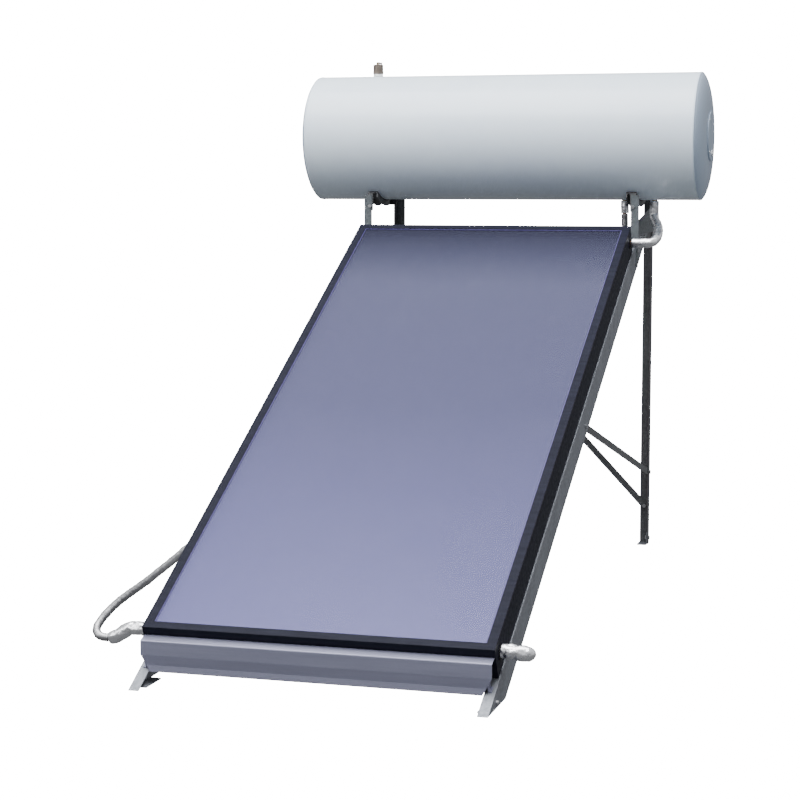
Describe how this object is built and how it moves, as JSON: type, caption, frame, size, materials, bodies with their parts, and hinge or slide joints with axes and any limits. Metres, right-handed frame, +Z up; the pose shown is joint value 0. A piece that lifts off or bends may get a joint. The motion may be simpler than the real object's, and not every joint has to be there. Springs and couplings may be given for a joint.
{
  "type": "solar water heater",
  "caption": "Thermosiphon solar water heater: flat glazed collector on a steel stand with a horizontal insulated tank above and foil-wrapped loop pipes.",
  "frame": {"origin": "middle of the ground footprint, at ground level", "axes": "+X along the tank to the heater end, +Y from the collector's foot to the tank, +Z up"},
  "size_m": [1.5312, 2.6204, 1.8213],
  "materials": {
    "jacket_paint": "smooth semi-gloss pale blue-grey paint on thin sheet",
    "cap_paint": "smooth semi-gloss blue-grey paint on a pressed cap",
    "cover_plastic": "satin blue-grey moulded plastic",
    "vessel_enamel": "dark blue vitreous enamel",
    "foam": "cream rigid foam, fine open cells",
    "wool": "yellow mineral wool, fibrous",
    "brass": "machined, slightly tarnished",
    "black_plastic": "black moulded plastic",
    "rubber": "matt black rubber",
    "zinc_steel": "zinc plated, fine scratches",
    "element_sheath": "heat-tinted metal sheath",
    "dial_plastic": "red moulded dial",
    "anode_metal": "dull cast magnesium",
    "white_plastic": "white moulded plastic",
    "valve_bronze": "dull dark bronze casting",
    "valve_lever": "dark painted lever",
    "washer": "white fibre washer",
    "frame_black": "black anodised aluminium extrusion, satin",
    "glass": "tempered solar glass, clear and slightly matt",
    "absorber": "selective coating, blue-violet, low sheen",
    "copper": "drawn copper tube",
    "sheet_metal": "thin bare sheet, faint rolling lines",
    "apron_metal": "folded sheet with a blue-grey sheen",
    "foil": "crumpled silver foil tape",
    "foil_dull": "crumpled foil tape, weathered and dull",
    "glass_seal": "satin black glazing rubber",
    "rail_steel": "grey galvanised steel, dull, mottled",
    "leg_steel": "dark grey coated steel",
    "bracket_steel": "grey coated steel plate"
  },
  "bodies": {
    "root": {"tank_jacket": "jacket_paint", "end_cap_left": "cap_paint", "end_cap_right": "cap_paint", "tank_insulation": "foam", "inner_tank": "vessel_enamel", "hot_outlet_nipple": "brass", "cold_inlet_nipple": "black_plastic", "loop_ports": "brass", "heater_flange": "zinc_steel", "flange_gasket": "rubber", "heater_element": "element_sheath", "thermostat": "black_plastic", "heater_cover": "cover_plastic", "cover_screws": "zinc_steel", "anode_rod": "anode_metal", "flange_bolts": "zinc_steel", "cable_gland": "white_plastic", "valve_body": "valve_bronze", "valve_gasket": "washer", "valve_spring": "zinc_steel", "lever_pin": "zinc_steel", "frame_left": "frame_black", "frame_right": "frame_black", "frame_top": "frame_black", "frame_bottom": "frame_black", "glass_cover": "glass", "glass_gasket": "glass_seal", "absorber_plate": "absorber", "riser_tubes": "copper", "header_top": "copper", "header_bottom": "copper", "collector_insulation": "wool", "back_sheet": "sheet_metal", "header_grommets": "rubber", "header_plug": "brass", "hot_pipe": "copper", "hot_pipe_wrap": "foil", "cold_pipe": "copper", "cold_pipe_wrap": "foil_dull", "plug_wrap": "foil", "joint_wraps": "foil", "union_fittings": "brass", "rail_left": "rail_steel", "rail_right": "rail_steel", "leg_left": "leg_steel", "leg_right": "leg_steel", "top_arms": "leg_steel", "bracket_left": "bracket_steel", "bracket_right": "bracket_steel", "tank_cradles": "leg_steel", "cradle_pads": "rubber", "side_braces": "leg_steel", "rear_brace_a": "leg_steel", "rear_brace_b": "leg_steel", "front_apron": "apron_metal", "foot_anchors": "rail_steel", "stand_bolts": "zinc_steel"},
    "relief_lever": {"valve_lever": "valve_lever"},
    "relief_stem": {"valve_stem": "brass"},
    "dial": {"thermostat_dial": "dial_plastic"}
  },
  "joints": [
    {"name": "lever_lift", "type": "hinge", "parent": "root", "child": "relief_lever", "pos_m": [-0.49141, 1.05585, 1.816], "axis": [-1, 0, 0], "range_deg": [0, 25], "stiffness_Nm_per_rad": 0.1, "springref_deg": -22.92},
    {"name": "stem_lift", "type": "slide", "parent": "root", "child": "relief_stem", "axis": [0, 0, 1], "range_m": [0, 0.0032], "deforming": ["valve_spring"]},
    {"name": "dial_turn", "type": "hinge", "parent": "root", "child": "dial", "pos_m": [0.72659, 1.07785, 1.538], "axis": [1, 0, 0], "range_deg": [0, 270]}
  ],
  "couplings": [
    {"joint": "lever_lift", "follows": "stem_lift", "rad_per_m": 136.35}
  ]
}
